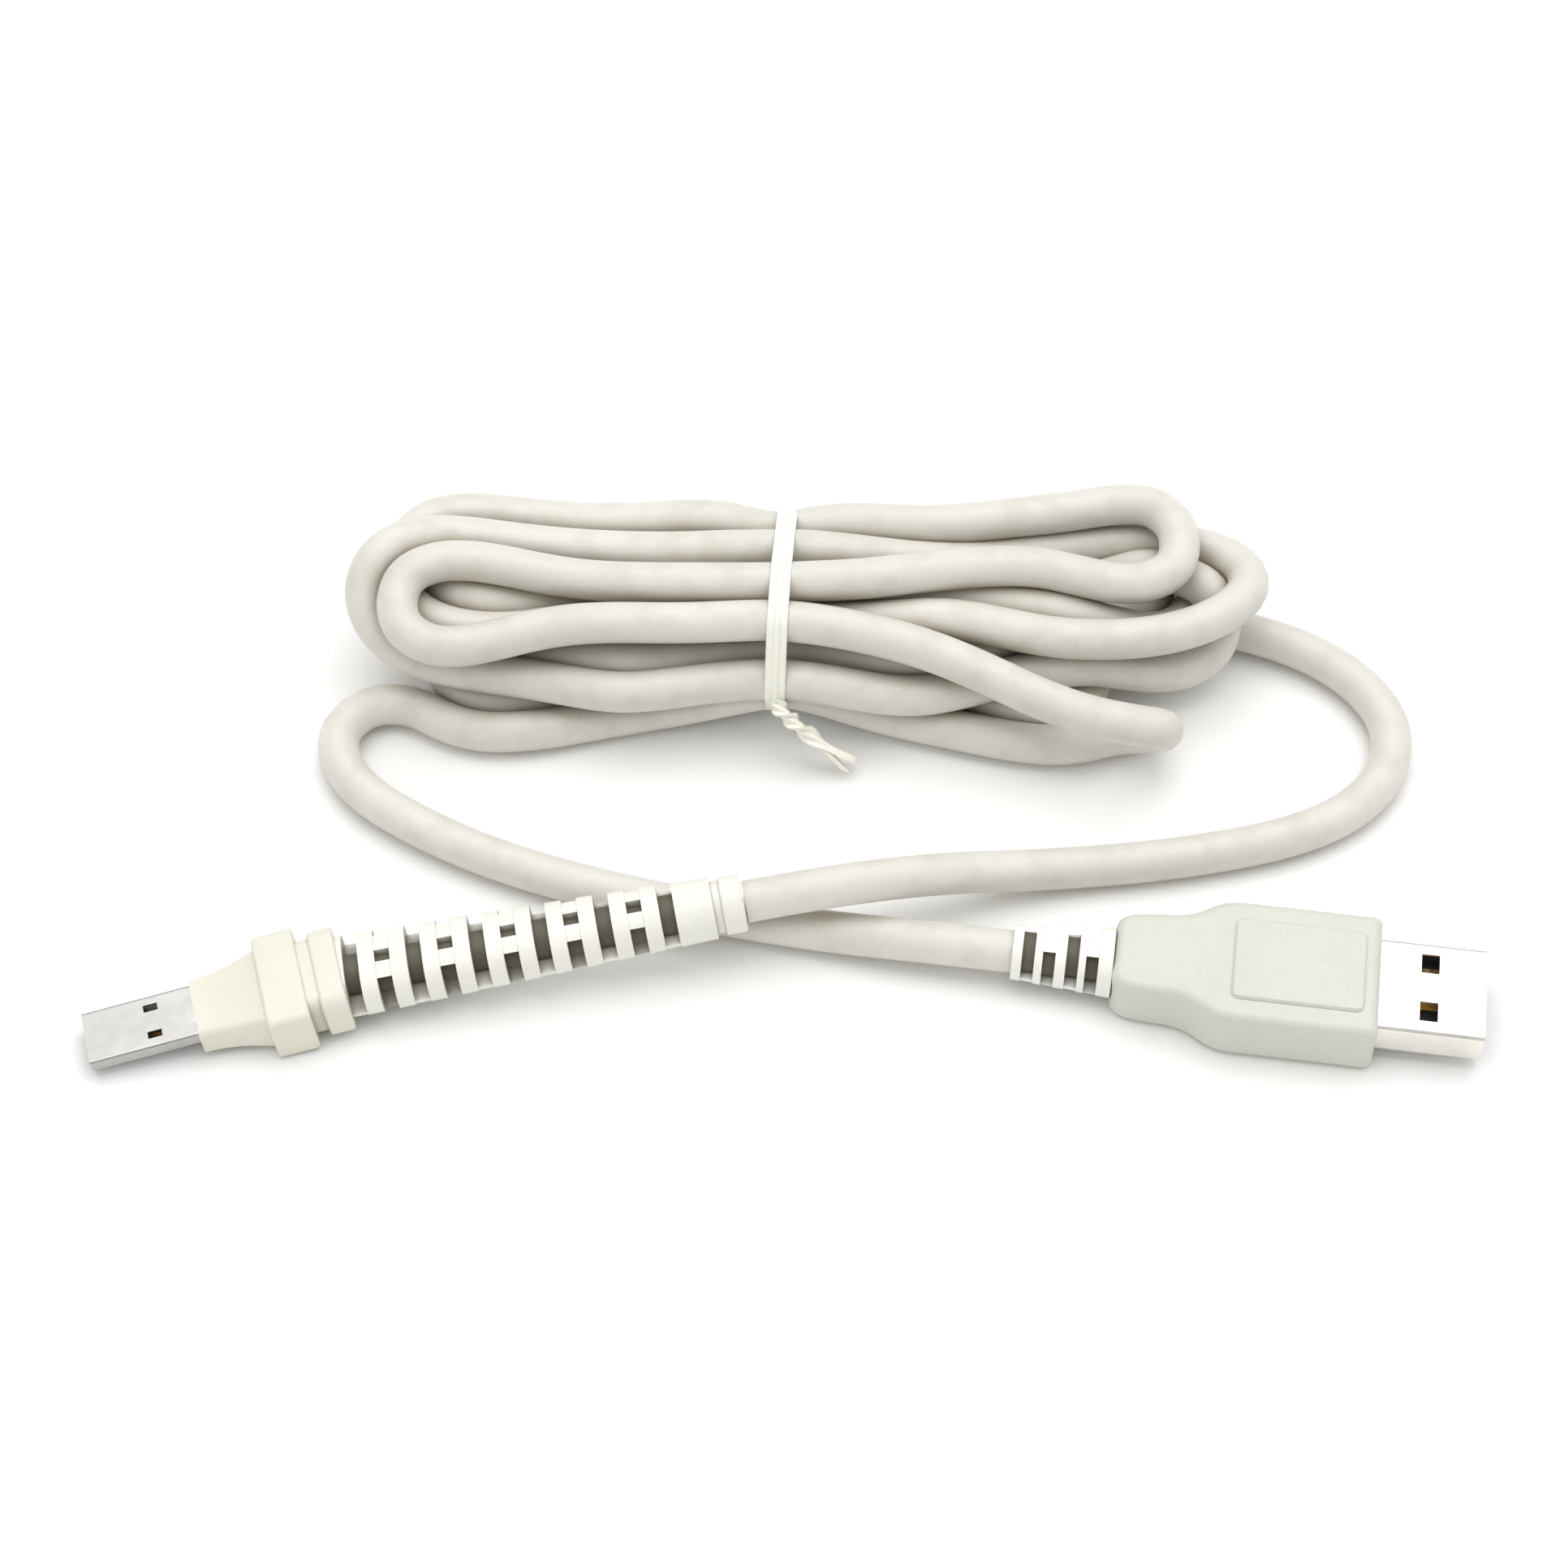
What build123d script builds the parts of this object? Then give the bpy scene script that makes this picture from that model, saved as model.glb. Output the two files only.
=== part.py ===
"""USB data cable, type A to mini-B, folded in a tied hank.

The floor is z = 0 and +Z is up.  The two plugs lie along X, the type A plug on the
right, and the origin is on the floor at the middle of the two plugs' box.  The hank
lies behind them, at +Y.  Millimetres.
"""
from build123d import *
from math import cos, pi, radians, sin, tan
import os

# ---- cable -------------------------------------------------------------------
CABLE_D = 4.8
CABLE_R = CABLE_D / 2
WIRE_D = 0.9
WIRE_OFFSET = 0.65          # the four wires' places in the jacket, either side of its axis
BRAID_WALL = 0.25
BRAID_R = CABLE_R + BRAID_WALL
WALL = 0.3                  # rolled steel of the shells and shields

# ---- type A plug: x runs from the mouth back along the cable, z is up ----------
A_TIP = (77.25, -3.5, 3.8)
A_YAW = 180 - 7.8
A_SHELL_W = 12.0
A_SHELL_H = 4.5
A_SHELL_L = 18.75
A_EXPOSED = 11.75
A_BODY_W = 16.0
A_BODY_H = 7.6
A_REAR_W = 10.4
A_REAR_H = 7.2
A_BODY_END = 41.1
A_RELIEF_END = 52.3
A_JACKET_END = 27.0
A_SHIELD_END = 26.6
A_PIN_Y = (3.5, 1.0, -1.0, -3.5)
A_SHIELD_H = 5.4
A_RELIEF_FRONT = (8.0, 6.4, 3.0)      # width, height and corner radius of the relief's ends
A_RELIEF_BACK = (6.2, 5.9, 2.9)
A_SLOTS = (2.3, 4.5, 7.1, 9.4)        # from the back of the body
A_SLOT_W = 1.4
A_OPENINGS = [[(-18, 64)], [(-8, 90)]]

# ---- mini-B plug -----------------------------------------------------------------
B_TIP = (-77.05, -7.3, 1.5)
B_YAW = 14.5
B_PITCH = 5.3
B_RELIEF_YAW = 9.3
B_SHELL_W = 6.8
B_SHELL_H = 3.0
B_SHELL_FOOT_W = 5.0
B_SHELL_L = 17.3
B_EXPOSED = 12.3
B_NOSE_END = 20.0
B_BLOCK_END = 24.7
B_GROOVE_END = 26.1
B_RING_END = 29.0
B_BLOCK_W = 12.4
B_BLOCK_H = 7.2
B_GROOVE_W = 9.5
B_GROOVE_H = 6.4
B_RING_W = 11.1
B_RING_H = 7.1
B_JACKET_END = 24.4
B_SHIELD_END = 24.0
B_SHIELD_W = 8.0
B_SHIELD_H = 4.5
B_RELIEF_L = 45.2
B_RELIEF_FRONT = (9.8, 6.2, 2.8)
B_RELIEF_BACK = (7.0, 6.6, 3.2)
B_COLLAR_L = 3.4
B_RELIEF_SEAT = 1.6                   # how far the relief is let into the ring
B_PIN_PITCH = 0.8
B_SLOT_FIRST = 1.3
B_SLOT_PITCH = 3.54
B_SLOT_COUNT = 11
B_SLOT_W = 1.7
B_OPENINGS = [[(-8, 90)], [(-40, 45), (76, 90), (-90, -76)]]

# The openings above are for the even and the odd slots, as pairs of angles above the
# horizontal, and each is mirrored to the other side.  What is left between them is the
# webs that join one ring of a relief to the next.
WEB_RECESS = 0.1
SLOT_REACH = 12.0                     # more than half the width of either relief

# ---- the cable's route where it isn't coiled, chosen by hand ---------------------------
LEAD_A_ROUTE = [
    (25.43, 3.60, 3.80),
    (17.00, 4.76, 3.80),
    (3.00, 7.40, 2.40),
    (-14.00, 10.90, 2.40),
    (-30.00, 15.60, 2.40),
    (-42.00, 21.40, 2.40),
    (-50.40, 27.60, 2.40),
    (-53.00, 34.40, 2.40),
    (-49.60, 39.20, 2.40),
    (-44.20, 39.50, 2.40),
]
LEAD_B_ROUTE = [
    (-4.68, 7.20, 8.35),
    (4.12, 8.64, 9.18),
    (17.00, 12.60, 6.20),
    (30.50, 15.60, 2.50),
    (45.50, 17.20, 2.40),
    (60.50, 20.70, 2.40),
    (69.00, 26.80, 2.40),
    (71.60, 35.00, 2.40),
    (68.60, 42.00, 2.40),
    (62.60, 47.20, 2.40),
    (55.50, 50.20, 2.40),
]

# ---- hank: x, middle y, half width, half height of its outer shape -----------------------
HANK_SECTIONS = [
    (-51.0, 47.6, 4.5, 5.0),
    (-46.0, 49.0, 12.6, 7.6),
    (-36.0, 49.6, 17.2, 8.7),
    (-16.0, 48.3, 14.6, 8.9),
    (0.0, 47.0, 12.0, 9.5),
    (20.0, 47.4, 14.6, 9.1),
    (36.0, 47.0, 17.4, 8.7),
    (47.0, 49.2, 13.0, 8.0),
    (56.6, 50.0, 4.2, 5.0),
]
WAIST = 4                             # the section under the tie
WAIST_LIFT = 0.7                      # the tie runs under the waist
END_LIFT = 0.1
TIE_W = 2.4
TIE_T = 0.8
TIE_BITE = 0.25                       # how far the tie sinks into the hank
TIE_YAW = 3.9
TIE_WIRE_W = 0.45
TIE_TAIL_FROM = (-0.7, 37.0, 4.6)
TIE_TAIL_TO = (7.4, 31.4, 1.5)
TIE_TAIL_W = 2.0
TIE_TAIL_T = 1.1
TIE_TWIST = 400.0

os.makedirs("parts", exist_ok=True)


def plug_plane(origin, yaw, pitch=0.0):
    """Plane whose x runs back from the plug's mouth and whose z is the plug's up."""
    a, b = radians(yaw), radians(pitch)
    x_dir = (cos(b) * cos(a), cos(b) * sin(a), sin(b))
    z_dir = (-sin(b) * cos(a), -sin(b) * sin(a), cos(b))
    return Plane(origin=origin, x_dir=x_dir, z_dir=z_dir)


A_PLANE = plug_plane(A_TIP, A_YAW)
B_PLANE = plug_plane(B_TIP, B_YAW, B_PITCH)
B_RELIEF_PLANE = plug_plane(B_PLANE.from_local_coords(Vector(B_RING_END, 0, 0)), B_RELIEF_YAW, B_PITCH)


def save(node, shape, plane=None):
    """Writes one node, placed by its plug's plane."""
    placed = plane.location * shape if plane else shape
    export_step(placed, f"parts/{node}.step")


def section_at(x, shape):
    """Puts a flat sketch, drawn in local y and z, at x along a plug."""
    return Plane(origin=(x, 0, 0), x_dir=(0, 1, 0), z_dir=(1, 0, 0)) * shape


def block(x0, x1, width, height, round_r=0.0, mid_z=0.0):
    """A bar along x with rounded long edges."""
    if round_r:
        face = RectangleRounded(width, height, round_r)
    else:
        face = Rectangle(width, height)
    return Pos(0, 0, mid_z) * extrude(section_at(x0, face), x1 - x0)


def rod(x0, x1, r, y=0.0, z=0.0):
    """A round bar along x."""
    return Pos(0, y, z) * extrude(section_at(x0, Circle(r)), x1 - x0)


def box(x0, x1, y0, y1, z0, z1):
    return Pos((x0 + x1) / 2, (y0 + y1) / 2, (z0 + z1) / 2) * Box(x1 - x0, y1 - y0, z1 - z0)


def tube(points, diameter, radii=None):
    """A round tube along straight runs joined by tangent arcs."""
    corners = [Vector(p) for p in points]
    if radii is None:
        radii = corner_radii(corners)
    path = FilletPolyline(*corners, radius=radii)
    face = Plane(origin=corners[0], z_dir=corners[1] - corners[0]) * Circle(diameter / 2)
    return sweep(face, path=path)


def corner_radii(corners):
    """Each arc as large as its two runs allow: 0.45 of the shorter run at its corner."""
    radii = []
    for before, here, after in zip(corners, corners[1:], corners[2:]):
        first, second = here - before, after - here
        half_turn = radians(first.get_angle(second)) / 2
        radii.append(0.45 * min(first.length, second.length) / tan(half_turn))
    return radii


# ---- type A plug -------------------------------------------------------------------
def a_shell():
    """Rolled steel sleeve with two windows above, two below and its seam underneath."""
    outer = block(0, A_SHELL_L, A_SHELL_W, A_SHELL_H, 0.6)
    inner = block(-1, A_SHELL_L + 1, A_SHELL_W - 2 * WALL, A_SHELL_H - 2 * WALL, 0.35)
    shell = outer - inner
    window_l, window_w, window_x, window_y = 2.0, 2.5, 6.2, 3.15
    for side in (-1, 1):
        shell -= Pos(window_x, side * window_y, 0) * Box(window_l, window_w, A_SHELL_H + 2)
    shell -= box(-1, A_SHELL_L - 1, -0.06, 0.06, -A_SHELL_H, -1)
    return shell


def a_contact(y, start):
    """A flat strip on the tongue, narrowed to a solder tail at the back."""
    strip = box(start, 13.5, y - 0.5, y + 0.5, -0.3, 0.0)
    tail = box(13.5, 16.4, y - 0.4, y + 0.4, -0.3, 0.0)
    return strip + tail


def a_contact_carrier(contacts):
    """Tongue in the lower half of the mouth, and the block that closes the shell."""
    clear = 0.05
    half_w = A_SHELL_W / 2 - WALL - clear
    half_h = A_SHELL_H / 2 - WALL - clear
    tongue = box(0.7, 9.2, -half_w, half_w, -half_h, -0.08)
    tongue = chamfer(tongue.edges().filter_by(Axis.Y).sort_by(Axis.X)[:2], 0.35)
    base = block(9.2, 13.4, 2 * half_w, 2 * half_h, 0.3)
    mouth = block(0, 13.4, 2 * half_w, 2 * half_h, 0.3)
    return (tongue + base - contacts) & mouth


def a_wire(y, offset_y, offset_z):
    tail_z = WIRE_D / 2
    points = [
        (A_JACKET_END, offset_y, offset_z),
        (24.0, offset_y, offset_z),
        (19.5, y, tail_z),
        (14.2, y, tail_z),
    ]
    return tube(points, WIRE_D)


def a_rear_shield():
    """Pressed can round the back of the connector, crimped on the braid."""
    can = block(A_SHELL_L, A_SHIELD_END, A_SHELL_W, A_SHIELD_H, 0.6)
    can -= block(A_SHELL_L - 1, A_SHIELD_END - WALL, A_SHELL_W - 2 * WALL, A_SHIELD_H - 2 * WALL, 0.35)
    crimp = rod(A_SHIELD_END - WALL, A_JACKET_END + 4.0, BRAID_R + WALL)
    return can + crimp - rod(A_SHELL_L, A_JACKET_END + 5, BRAID_R)


def a_inner_mould(inside):
    clear = 2 * WALL + 0.1
    front = block(13.4, A_SHELL_L, A_SHELL_W - clear, A_SHELL_H - clear, 0.3)
    rear = block(A_SHELL_L, A_SHIELD_END - WALL, A_SHELL_W - clear, A_SHIELD_H - clear, 0.3)
    return front + rear - inside


def a_body_outline():
    """Plan of the grip: wide at the front, drawn in by an S-shoulder at the back."""
    front, shoulder, waist, end = A_EXPOSED, 27.0, 35.2, A_BODY_END
    half, rear = A_BODY_W / 2, A_REAR_W / 2
    corner = 0.8
    lines = Line((front, 0), (front, half - corner))
    lines += JernArc((front, half - corner), (0, 1), corner, -90)
    lines += Line((front + corner, half), (shoulder, half))
    lines += Bezier((shoulder, half), (shoulder + 4.2, half), (waist - 4.2, rear + 0.3), (waist, rear + 0.2))
    lines += Bezier((waist, rear + 0.2), (end - 2.5, rear), (end, rear), (end, rear - 2.2))
    lines += Line((end, rear - 2.2), (end, 0))
    lines += mirror(lines, Plane.XZ)
    return make_face(lines)


def a_overmould(inside):
    """Grip with a raised panel on top, and lower behind its shoulder."""
    body = Pos(0, 0, -A_BODY_H / 2) * extrude(a_body_outline(), A_BODY_H)
    back = A_BODY_END + 1
    slope = [(30.0, A_BODY_H / 2), (back, A_REAR_H / 2 - 0.3), (back, A_BODY_H), (30.0, A_BODY_H)]
    low_back = Plane.XZ * make_face(Polyline(*slope, close=True))
    body -= extrude(low_back, A_BODY_W, both=True)
    rims = body.edges().filter_by_position(Axis.Z, -A_BODY_H / 2, -A_BODY_H / 2)
    rims += body.edges().filter_by(lambda e: e.center().Z > A_REAR_H / 2 - 0.4 and abs(e.center().Y) > 0.5)
    body = fillet(rims, 1.1)
    panel_x0, panel_x1, panel_w, panel_rise = 13.4, 28.0, 10.6, 0.35
    panel = Pos((panel_x0 + panel_x1) / 2, 0, A_BODY_H / 2 - 0.5) * extrude(
        RectangleRounded(panel_x1 - panel_x0, panel_w, 0.9), 0.5 + panel_rise)
    panel = chamfer(panel.faces().sort_by(Axis.Z)[-1].edges(), 0.25)
    return body + panel - inside


def wedge(x, width, low, high):
    """A cut from a relief's axis outwards, between two angles above the horizontal."""
    corners = [(0, 0)]
    for angle in (low, high):
        corners.append((SLOT_REACH * cos(radians(angle)), SLOT_REACH * sin(radians(angle))))
    return extrude(section_at(x - width / 2, make_face(Polyline(*corners, close=True))), width)


def slot_cuts(places, width, openings):
    """Openings in the slots of a strain relief, which take turns between two patterns."""
    cuts = []
    for number, x in enumerate(places):
        for low, high in openings[number % 2]:
            cuts.append(wedge(x, width, low, high))
            cuts.append(wedge(x, width, 180 - high, 180 - low))
    return cuts


def relief(profile, places, width, bore_to, openings):
    """Lofted sleeve with a bore for the jacket and slots that let it bend."""
    sleeve = loft(profile)
    core = loft([offset(s, -WEB_RECESS) for s in profile])
    rings = []
    for x in places:
        slab = box(x - width / 2, x + width / 2, -SLOT_REACH, SLOT_REACH, -SLOT_REACH, SLOT_REACH)
        rings.append(slab - core)
    sleeve -= rings
    sleeve -= slot_cuts(places, width, openings)
    return sleeve - rod(-5, bore_to + 5, CABLE_R)


def a_strain_relief():
    end = A_RELIEF_END - A_BODY_END
    front = section_at(0, RectangleRounded(*A_RELIEF_FRONT))
    back = section_at(end, RectangleRounded(*A_RELIEF_BACK))
    return Pos(A_BODY_END, 0, 0) * relief([front, back], A_SLOTS, A_SLOT_W, end, A_OPENINGS)


# ---- mini-B plug ---------------------------------------------------------------------
def b_shell_section(inset):
    """The mini-B outline: full width above, drawn in to a narrower foot below."""
    half_w, half_h, half_foot = B_SHELL_W / 2 - inset, B_SHELL_H / 2 - inset, B_SHELL_FOOT_W / 2 - inset
    right = [(half_w, half_h), (half_w, -0.1), (half_foot, -0.95), (half_foot, -half_h)]
    left = [(-y, z) for y, z in reversed(right)]
    face = make_face(Polyline(*right, *left, close=True))
    return fillet(face.vertices(), max(0.35 - inset, 0.08))


def b_shell():
    shell = extrude(section_at(0, b_shell_section(0)), B_SHELL_L)
    shell -= extrude(section_at(-1, b_shell_section(0.25)), B_SHELL_L + 2)
    for side in (-1, 1):
        shell -= Pos(7.6, side * 1.75, B_SHELL_H / 2) * Box(1.6, 0.9, 1.0)
    shell -= box(-1, B_SHELL_L - 1, -0.05, 0.05, -B_SHELL_H, -1)
    return shell


def b_contact(y):
    strip = box(1.3, 13.0, y - 0.2, y + 0.2, -0.25, -0.05)
    tail = box(13.0, 15.4, y - 0.25, y + 0.25, -0.25, -0.05)
    return strip + tail


def b_contact_carrier(contacts):
    tongue = box(0.7, 9.6, -2.15, 2.15, -1.2, -0.1)
    tongue = chamfer(tongue.edges().filter_by(Axis.Y).sort_by(Axis.X)[:2], 0.25)
    base = extrude(section_at(9.6, b_shell_section(0.3)), 3.3)
    return tongue + base - contacts


def b_wire(y, above, offset_y, offset_z):
    tail_z = -0.05 + WIRE_D / 2 if above else -0.25 - WIRE_D / 2
    points = [
        (B_JACKET_END, offset_y, offset_z),
        (21.6, offset_y, offset_z),
        (17.6, y, tail_z),
        (14.0, y, tail_z),
    ]
    return tube(points, WIRE_D)


def b_rear_shield():
    can = block(B_SHELL_L, B_SHIELD_END, B_SHIELD_W, B_SHIELD_H, 0.6)
    can -= block(B_SHELL_L - 1, B_SHIELD_END - WALL, B_SHIELD_W - 2 * WALL, B_SHIELD_H - 2 * WALL, 0.35)
    crimp = rod(B_SHIELD_END - WALL, B_JACKET_END + 2.6, BRAID_R + WALL)
    return can + crimp - rod(B_SHELL_L, B_JACKET_END + 3, BRAID_R)


def b_inner_mould(inside):
    front = extrude(section_at(12.9, b_shell_section(0.3)), B_SHELL_L - 12.9)
    clear = 2 * WALL + 0.1
    rear = block(B_SHELL_L, B_SHIELD_END - WALL, B_SHIELD_W - clear, B_SHIELD_H - clear, 0.3)
    return front + rear - inside


def flare(width_axis, x0, x1, start, middle, end, reach):
    """A bar along x whose half size along one axis follows one arc from start to end."""
    top = ThreePointArc((x0, start), ((x0 + x1) / 2, middle), (x1, end))
    outline = top + Line((x0, start), (x0, 0)) + Line((x1, end), (x1, 0))
    outline += mirror(outline, Plane.XZ)
    face = make_face(outline)
    if width_axis == "z":
        return Rot(X=90) * extrude(face, reach, both=True)
    return extrude(face, reach, both=True)


def b_nose():
    """Flares in a hollow curve from the shell to the thumb block."""
    x0, x1 = B_EXPOSED, B_NOSE_END + 0.5
    nose = flare("y", x0, x1, 3.95, 4.25, 5.15, 5) & flare("z", x0, x1, 2.05, 2.35, 3.2, 8)
    long_edges = nose.edges().filter_by(lambda e: abs(e.center().Y) > 2 and abs(e.center().Z) > 1.2)
    long_edges = long_edges.filter_by(lambda e: x0 + 1 < e.center().X < x1 - 1)
    return fillet(long_edges, 0.9)


def b_bar(x0, x1, width, height, round_r, rim_r):
    bar = block(x0, x1, width, height, round_r)
    rims = bar.faces().sort_by(Axis.X)[0].edges() + bar.faces().sort_by(Axis.X)[-1].edges()
    return fillet(rims, rim_r)


def b_overmould(inside):
    """Flared nose, thumb block, groove and the ring in front of the strain relief."""
    thumb = b_bar(B_NOSE_END, B_BLOCK_END, B_BLOCK_W, B_BLOCK_H, 0.9, 0.35)
    groove = block(B_BLOCK_END - 0.6, B_GROOVE_END + 0.6, B_GROOVE_W, B_GROOVE_H, 1.4)
    ring = b_bar(B_GROOVE_END, B_RING_END, B_RING_W, B_RING_H, 1.9, 0.4)
    return b_nose() + thumb + groove + ring - inside


def b_relief_profile():
    front = section_at(-B_RELIEF_SEAT, RectangleRounded(*B_RELIEF_FRONT))
    back = section_at(B_RELIEF_L - B_COLLAR_L, RectangleRounded(*B_RELIEF_BACK))
    return [front, back]


def b_strain_relief():
    """Long sleeve, a rounded bar at the ring and round at the collar."""
    taper_end = B_RELIEF_L - B_COLLAR_L
    places = [B_SLOT_FIRST + B_SLOT_PITCH * n for n in range(B_SLOT_COUNT)]
    sleeve = relief(b_relief_profile(), places, B_SLOT_W, B_RELIEF_L, B_OPENINGS)
    neck = rod(taper_end, taper_end + 0.9, 2.95)
    collar = rod(taper_end + 0.9, B_RELIEF_L, 3.3)
    collar = fillet(collar.edges().filter_by(GeomType.CIRCLE), 0.4)
    return sleeve + (neck + collar - rod(taper_end - 1, B_RELIEF_L + 1, CABLE_R))


# ---- hank and tie ------------------------------------------------------------------------
def hank_section(x, mid_y, half_w, half_h, lift):
    plane = Plane(origin=(x, mid_y, half_h + lift), x_dir=(0, 1, 0), z_dir=(1, 0, 0))
    return plane * Ellipse(half_w, half_h)


def hank():
    sections = []
    for number, (x, mid_y, half_w, half_h) in enumerate(HANK_SECTIONS):
        lift = WAIST_LIFT if number == WAIST else END_LIFT
        sections.append(hank_section(x, mid_y, half_w, half_h, lift))
    return loft(sections)


def tie_hoop(width, inset, outset):
    """A flat hoop round the hank's waist."""
    _, mid_y, half_w, half_h = HANK_SECTIONS[WAIST]
    plane = Plane(origin=(0, mid_y, half_h + WAIST_LIFT), x_dir=(0, 1, 0), z_dir=(1, 0, 0))
    face = Ellipse(half_w + outset, half_h + outset) - Ellipse(half_w - inset, half_h - inset)
    hoop = extrude(plane * face, width / 2, both=True)
    return Pos(0, mid_y, 0) * Rot(Z=-TIE_YAW) * Pos(0, -mid_y, 0) * hoop


def tie_tail():
    """The two ends of the tie, twisted together and bent down to the floor."""
    start, end = Vector(TIE_TAIL_FROM), Vector(TIE_TAIL_TO)
    reach = end - start
    plane = Plane(origin=start, z_dir=reach)
    face = plane * Rectangle(TIE_TAIL_W, TIE_TAIL_T)
    return Solid.extrude_linear_with_rotation(face.face(), start, reach, TIE_TWIST)


def main():
    wires = [("red", 1, 1), ("white", 1, -1), ("green", -1, 1), ("black", -1, -1)]
    pins = ["vbus", "data_minus", "data_plus", "ground"]

    # type A plug
    shell = a_shell()
    contacts = [a_contact(y, 1.2 if abs(y) > 2 else 2.2) for y in A_PIN_Y]
    carrier = a_contact_carrier(contacts)
    leads = [a_wire(y, sy * WIRE_OFFSET, sz * WIRE_OFFSET) for y, (_, sy, sz) in zip(A_PIN_Y, wires)]
    shield = a_rear_shield()
    braid = rod(A_JACKET_END, A_JACKET_END + 4.0, BRAID_R) - rod(A_JACKET_END - 1, A_JACKET_END + 5, CABLE_R)
    entry = rod(A_JACKET_END, A_RELIEF_END, CABLE_R)
    outer_can = block(A_EXPOSED - 1, A_SHELL_L, A_SHELL_W, A_SHELL_H, 0.6)
    outer_can += block(A_SHELL_L, A_SHIELD_END, A_SHELL_W, A_SHIELD_H, 0.6)
    outer_can += rod(A_SHIELD_END - 1, A_JACKET_END + 4.0, BRAID_R + WALL)
    outer_can += rod(A_JACKET_END, A_BODY_END + 1, CABLE_R)
    save("usb_a_shell", shell, A_PLANE)
    for pin, contact in zip(pins, contacts):
        save(f"usb_a_contact_{pin}", contact, A_PLANE)
    save("usb_a_contact_carrier", carrier, A_PLANE)
    for (colour, _, _), lead in zip(wires, leads):
        save(f"usb_a_wire_{colour}", lead, A_PLANE)
    save("usb_a_inner_mould", a_inner_mould(contacts + leads), A_PLANE)
    save("usb_a_rear_shield", shield, A_PLANE)
    save("usb_a_braid", braid, A_PLANE)
    save("cable_entry_a", entry, A_PLANE)
    save("usb_a_overmould", a_overmould(outer_can), A_PLANE)
    save("usb_a_strain_relief", a_strain_relief(), A_PLANE)

    # mini-B plug
    b_pins = ["vbus", "data_minus", "data_plus", "id", "ground"]
    contacts = [b_contact((2 - n) * B_PIN_PITCH) for n in range(len(b_pins))]
    wired = [(0, True), (1, False), (2, True), (4, False)]
    leads = []
    for (pin, above), (_, sy, sz) in zip(wired, wires):
        leads.append(b_wire((2 - pin) * B_PIN_PITCH, above, sy * WIRE_OFFSET, sz * WIRE_OFFSET))
    carrier = b_contact_carrier(contacts)
    braid = rod(B_JACKET_END, B_JACKET_END + 2.6, BRAID_R) - rod(B_JACKET_END - 1, B_JACKET_END + 4, CABLE_R)
    turned = B_PLANE.location.inverse() * B_RELIEF_PLANE.location
    entry = rod(B_JACKET_END, B_RING_END, CABLE_R) + Pos(B_RING_END, 0, 0) * Sphere(CABLE_R)
    entry += turned * rod(0, B_RELIEF_L, CABLE_R)
    sleeve = turned * b_strain_relief() - entry
    outer_can = extrude(section_at(B_EXPOSED - 1, b_shell_section(0)), B_SHELL_L - B_EXPOSED + 1)
    outer_can += block(B_SHELL_L, B_SHIELD_END, B_SHIELD_W, B_SHIELD_H, 0.6)
    outer_can += rod(B_SHIELD_END - 1, B_JACKET_END + 2.6, BRAID_R + WALL)
    seat = turned * loft(b_relief_profile())
    outer_can += rod(B_JACKET_END, B_RING_END, CABLE_R)
    save("mini_b_shell", b_shell(), B_PLANE)
    for pin, contact in zip(b_pins, contacts):
        save(f"mini_b_contact_{pin}", contact, B_PLANE)
    save("mini_b_contact_carrier", carrier, B_PLANE)
    for (colour, _, _), lead in zip(wires, leads):
        save(f"mini_b_wire_{colour}", lead, B_PLANE)
    save("mini_b_inner_mould", b_inner_mould(contacts + leads), B_PLANE)
    save("mini_b_rear_shield", b_rear_shield(), B_PLANE)
    save("mini_b_braid", braid, B_PLANE)
    save("cable_entry_b", entry, B_PLANE)
    save("mini_b_overmould", b_overmould(outer_can) - seat, B_PLANE)
    save("mini_b_strain_relief", sleeve, B_PLANE)

    # cable and hank
    lead_a = tube(LEAD_A_ROUTE, CABLE_D)
    lead_b = tube(LEAD_B_ROUTE, CABLE_D)
    for name, route, lead in (("a", LEAD_A_ROUTE, lead_a), ("b", LEAD_B_ROUTE, lead_b)):
        corners = [Vector(p) for p in route]
        radii = corner_radii(corners)
        length = FilletPolyline(*corners, radius=radii).length
        print(f"lead {name}: length {length:.1f}, radii", " ".join(f"{r:.1f}" for r in radii))
        print(f"  volume {lead.volume:.1f}, section times length {pi * CABLE_R ** 2 * length:.1f}")
    for name, plane, reach in (("a", A_PLANE, A_RELIEF_END), ("b", B_RELIEF_PLANE, B_RELIEF_L)):
        print(f"exit {name}:", plane.from_local_coords(Vector(reach, 0, 0)))
    hoop = tie_hoop(TIE_W, TIE_BITE, TIE_T - TIE_BITE)
    half_wire = TIE_WIRE_W / 2
    core = TIE_T / 2 - TIE_BITE
    wire = tie_hoop(TIE_WIRE_W, half_wire - core, half_wire + core)
    bundle = hank() - hoop - wire - lead_a - lead_b
    save("cable_lead_a", lead_a)
    save("cable_lead_b", lead_b)
    save("cable_hank", bundle)
    save("tie_ribbon", hoop + tie_tail() - wire)
    save("tie_wire", wire)


main()
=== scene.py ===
"""Looks of the USB data cable: a free cord folded in a tied hank, with a plug on each end.

Metres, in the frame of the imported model: the floor is z = 0, the plugs lie along X and
the hank lies behind them, at +Y.
"""
import math

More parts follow.
